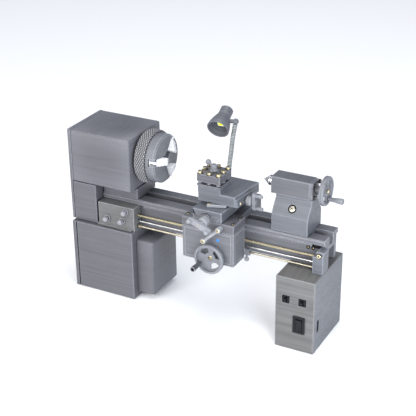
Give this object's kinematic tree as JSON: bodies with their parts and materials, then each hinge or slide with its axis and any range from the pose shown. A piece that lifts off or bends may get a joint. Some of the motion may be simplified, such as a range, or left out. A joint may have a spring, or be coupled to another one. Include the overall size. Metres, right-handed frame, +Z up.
{
  "type": "bench-top miniature metal lathe",
  "caption": "Bench-top miniature lathe with headstock, three-jaw chuck, bed, carriage, compound slide, tool post, work lamp and tailstock on two pedestals.",
  "frame": {"origin": "centre of the overall footprint, on the bench surface", "axes": "+X along the bed from the headstock to the tailstock, +Y from the operator's side to the back, +Z up"},
  "size_m": [0.258, 0.0993, 0.1843],
  "materials": {
    "graphite_print": "satin with fine layer lines",
    "pale_print": "satin with fine layer lines",
    "steel": "polished",
    "brass": "polished",
    "white_print": "satin",
    "black_plastic": "semi-gloss",
    "belt_rubber": "matte",
    "led_yellow": "gloss",
    "neck_metal": "satin"
  },
  "bodies": {
    "frame": {"left_pedestal": "graphite_print", "pedestal_end_cover": "graphite_print", "motor_cover": "graphite_print", "motor": "steel", "right_pedestal": "graphite_print", "power_switch_body": "black_plastic", "switch_board": "black_plastic", "charging_port": "steel", "gear_guard": "graphite_print", "gear_column": "graphite_print", "headstock_cover": "graphite_print", "headstock_casting": "graphite_print", "rear_bearing": "steel", "front_bearing": "steel", "bed": "graphite_print", "feed_gearbox": "pale_print", "rod_bracket": "graphite_print", "drive_belt": "belt_rubber", "feed_belt": "belt_rubber"},
    "spindle": {"spindle": "steel", "spindle_pulley": "pale_print", "chuck_body": "graphite_print"},
    "scroll_ring": {"chuck_scroll_ring": "graphite_print"},
    "jaw_1": {"chuck_jaw_1": "white_print"},
    "jaw_2": {"chuck_jaw_2": "white_print"},
    "jaw_3": {"chuck_jaw_3": "white_print"},
    "motor_shaft": {"motor_pulley": "steel"},
    "lead_screw": {"lead_screw": "brass", "lead_screw_pulley": "pale_print"},
    "feed_rod": {"feed_rod": "steel"},
    "control_rod": {"control_rod": "steel"},
    "knob_left": {"feed_knob_left": "pale_print"},
    "knob_upper": {"feed_knob_upper": "pale_print"},
    "knob_lower": {"feed_knob_lower": "pale_print"},
    "carriage": {"saddle": "graphite_print", "apron": "pale_print"},
    "carriage_wheel": {"carriage_handwheel": "pale_print"},
    "carriage_grip": {"carriage_grip": "steel"},
    "pinion": {"pinion_shaft": "steel"},
    "half_nut_lever": {"half_nut_lever": "pale_print"},
    "start_lever": {"start_lever": "pale_print"},
    "cross_slide": {"cross_slide": "graphite_print"},
    "cross_crank": {"cross_slide_crank": "pale_print"},
    "swivel": {"swivel_base": "graphite_print"},
    "compound": {"compound_slide": "graphite_print"},
    "compound_crank": {"compound_crank": "pale_print"},
    "tool_post": {"tool_post": "graphite_print"},
    "tool_post_lever": {"tool_post_lever": "pale_print"},
    "lamp_arm": {"lamp_neck": "neck_metal"},
    "lamp_head": {"lamp_shade": "pale_print", "lamp_led": "led_yellow"},
    "tailstock": {"tailstock_base": "graphite_print", "tailstock_barrel": "graphite_print"},
    "quill": {"tailstock_quill": "steel", "dead_centre": "steel"},
    "tail_wheel": {"tailstock_handwheel": "pale_print"},
    "tail_grip": {"tailstock_grip": "pale_print"},
    "power_rocker": {"power_rocker": "black_plastic"},
    "toggle_left": {"toggle_lever_left": "black_plastic"},
    "toggle_right": {"toggle_lever_right": "black_plastic"}
  },
  "joints": [
    {"name": "spindle_spin", "type": "hinge", "parent": "frame", "child": "spindle", "pos_m": [-0.0466, 0.01275, 0.1364], "axis": [1, 0, 0], "continuous": true},
    {"name": "chuck_scroll", "type": "hinge", "parent": "spindle", "child": "scroll_ring", "pos_m": [-0.0566, 0.01275, 0.1364], "axis": [1, 0, 0], "range_deg": [-280, 360]},
    {"name": "jaw_1_slide", "type": "slide", "parent": "spindle", "child": "jaw_1", "axis": [0, 0.6157, 0.788], "range_m": [-0.0046, 0.0036]},
    {"name": "jaw_2_slide", "type": "slide", "parent": "spindle", "child": "jaw_2", "axis": [0, -0.9903, 0.1392], "range_m": [-0.0046, 0.0036]},
    {"name": "jaw_3_slide", "type": "slide", "parent": "spindle", "child": "jaw_3", "axis": [0, 0.3746, -0.9272], "range_m": [-0.0046, 0.0036]},
    {"name": "motor_spin", "type": "hinge", "parent": "frame", "child": "motor_shaft", "pos_m": [-0.0866, 0.01275, 0.034], "axis": [1, 0, 0], "continuous": true},
    {"name": "lead_screw_spin", "type": "hinge", "parent": "frame", "child": "lead_screw", "pos_m": [0.0234, -0.00645, 0.0835], "axis": [1, 0, 0], "continuous": true},
    {"name": "feed_rod_spin", "type": "hinge", "parent": "frame", "child": "feed_rod", "pos_m": [0.0234, -0.00645, 0.0779], "axis": [1, 0, 0], "continuous": true},
    {"name": "feed_knob_left_turn", "type": "hinge", "parent": "frame", "child": "knob_left", "pos_m": [-0.0896, -0.01645, 0.078], "axis": [0, 1, 0], "range_deg": [-60, 60]},
    {"name": "feed_knob_upper_turn", "type": "hinge", "parent": "frame", "child": "knob_upper", "pos_m": [-0.0696, -0.01645, 0.088], "axis": [0, 1, 0], "range_deg": [-60, 60]},
    {"name": "feed_knob_lower_turn", "type": "hinge", "parent": "frame", "child": "knob_lower", "pos_m": [-0.0736, -0.01645, 0.0784], "axis": [0, 1, 0], "range_deg": [-60, 60]},
    {"name": "carriage_wheel_turn", "type": "hinge", "parent": "carriage", "child": "carriage_wheel", "pos_m": [0.027, -0.03345, 0.0728], "axis": [0, 1, 0], "range_deg": [-1700, 145]},
    {"name": "carriage_slide", "type": "slide", "parent": "frame", "child": "carriage", "axis": [1, 0, 0], "range_m": [-0.0362, 0.003]},
    {"name": "pinion_turn", "type": "hinge", "parent": "carriage", "child": "pinion", "pos_m": [0.027, -0.01345, 0.0872], "axis": [0, 1, 0], "range_deg": [-66, 772]},
    {"name": "carriage_grip_spin", "type": "hinge", "parent": "carriage_wheel", "child": "carriage_grip", "pos_m": [0.01911, -0.04045, 0.06806], "axis": [0, 1, 0], "continuous": true},
    {"name": "half_nut_engage", "type": "hinge", "parent": "carriage", "child": "half_nut_lever", "pos_m": [0.036, -0.03345, 0.1026], "axis": [0, 1, 0], "range_deg": [0, 26]},
    {"name": "start_lever_turn", "type": "hinge", "parent": "carriage", "child": "start_lever", "pos_m": [0.0509, -0.00645, 0.0726], "axis": [1, 0, 0], "range_deg": [-20, 25]},
    {"name": "control_rod_turn", "type": "hinge", "parent": "frame", "child": "control_rod", "pos_m": [0.0234, -0.00645, 0.0726], "axis": [1, 0, 0], "range_deg": [-21, 26]},
    {"name": "cross_crank_turn", "type": "hinge", "parent": "carriage", "child": "cross_crank", "pos_m": [0.0227, -0.03845, 0.1084], "axis": [0, 1, 0], "range_deg": [0, 3280]},
    {"name": "cross_slide_move", "type": "slide", "parent": "carriage", "child": "cross_slide", "axis": [0, 1, 0], "range_m": [0, 0.0091]},
    {"name": "compound_swivel", "type": "hinge", "parent": "cross_slide", "child": "swivel", "pos_m": [0.0264, -0.00345, 0.117], "axis": [0, 0, -1], "range_deg": [-10, 25]},
    {"name": "compound_crank_turn", "type": "hinge", "parent": "compound", "child": "compound_crank", "pos_m": [0.0534, -0.00445, 0.1212], "axis": [1, 0, 0], "range_deg": [-1048, 1552]},
    {"name": "compound_slide_move", "type": "slide", "parent": "swivel", "child": "compound", "axis": [1, 0, 0], "range_m": [-0.0029, 0.0043]},
    {"name": "tool_post_index", "type": "hinge", "parent": "compound", "child": "tool_post", "pos_m": [0.019, -0.00815, 0.14], "axis": [0, 0, 1], "continuous": true},
    {"name": "tool_post_clamp", "type": "hinge", "parent": "compound", "child": "tool_post_lever", "pos_m": [0.019, -0.00815, 0.146], "axis": [0, 0, 1], "range_deg": [0, 90]},
    {"name": "lamp_swivel", "type": "hinge", "parent": "carriage", "child": "lamp_arm", "pos_m": [0.012, 0.03395, 0.1073], "axis": [0, 0, -1], "range_deg": [-25, 25]},
    {"name": "lamp_tilt", "type": "hinge", "parent": "lamp_arm", "child": "lamp_head", "pos_m": [0.01742, 0.03619, 0.17257], "axis": [1, 0, 0], "range_deg": [-18, 18]},
    {"name": "tailstock_slide", "type": "slide", "parent": "frame", "child": "tailstock", "axis": [1, 0, 0], "range_m": [-0.004, 0.012]},
    {"name": "tail_wheel_turn", "type": "hinge", "parent": "tailstock", "child": "tail_wheel", "pos_m": [0.1134, 0.01275, 0.1364], "axis": [1, 0, 0], "range_deg": [-2920, 0]},
    {"name": "quill_slide", "type": "slide", "parent": "tailstock", "child": "quill", "axis": [1, 0, 0], "range_m": [-0.0081, 0]},
    {"name": "tail_grip_spin", "type": "hinge", "parent": "tail_wheel", "child": "tail_grip", "pos_m": [0.1214, 0.01541, 0.12822], "axis": [1, 0, 0], "continuous": true},
    {"name": "power_rocker_tip", "type": "hinge", "parent": "frame", "child": "power_rocker", "pos_m": [0.1106, -0.02825, 0.02655], "axis": [1, 0, 0], "range_deg": [-8, 8]},
    {"name": "toggle_left_tip", "type": "hinge", "parent": "frame", "child": "toggle_left", "pos_m": [0.0978, -0.02665, 0.0489], "axis": [1, 0, 0], "range_deg": [-12, 12]},
    {"name": "toggle_right_tip", "type": "hinge", "parent": "frame", "child": "toggle_right", "pos_m": [0.113, -0.02665, 0.0489], "axis": [1, 0, 0], "range_deg": [-12, 12]}
  ],
  "couplings": [
    {"joint": "jaw_1_slide", "follows": "chuck_scroll", "m_per_rad": -0.0007162},
    {"joint": "jaw_2_slide", "follows": "chuck_scroll", "m_per_rad": -0.0007162},
    {"joint": "jaw_3_slide", "follows": "chuck_scroll", "m_per_rad": -0.0007162},
    {"joint": "motor_spin", "follows": "spindle_spin", "ratio": 1.8966},
    {"joint": "lead_screw_spin", "follows": "spindle_spin", "ratio": 1.5657},
    {"joint": "feed_rod_spin", "follows": "spindle_spin", "ratio": 0.5},
    {"joint": "carriage_wheel_turn", "follows": "carriage_slide", "rad_per_m": 816.5},
    {"joint": "pinion_turn", "follows": "carriage_slide", "rad_per_m": -370.37},
    {"joint": "control_rod_turn", "follows": "start_lever_turn", "ratio": 1},
    {"joint": "cross_crank_turn", "follows": "cross_slide_move", "rad_per_m": 6283.2},
    {"joint": "compound_crank_turn", "follows": "compound_slide_move", "rad_per_m": 6283.2},
    {"joint": "tail_wheel_turn", "follows": "quill_slide", "rad_per_m": 6283.2}
  ]
}
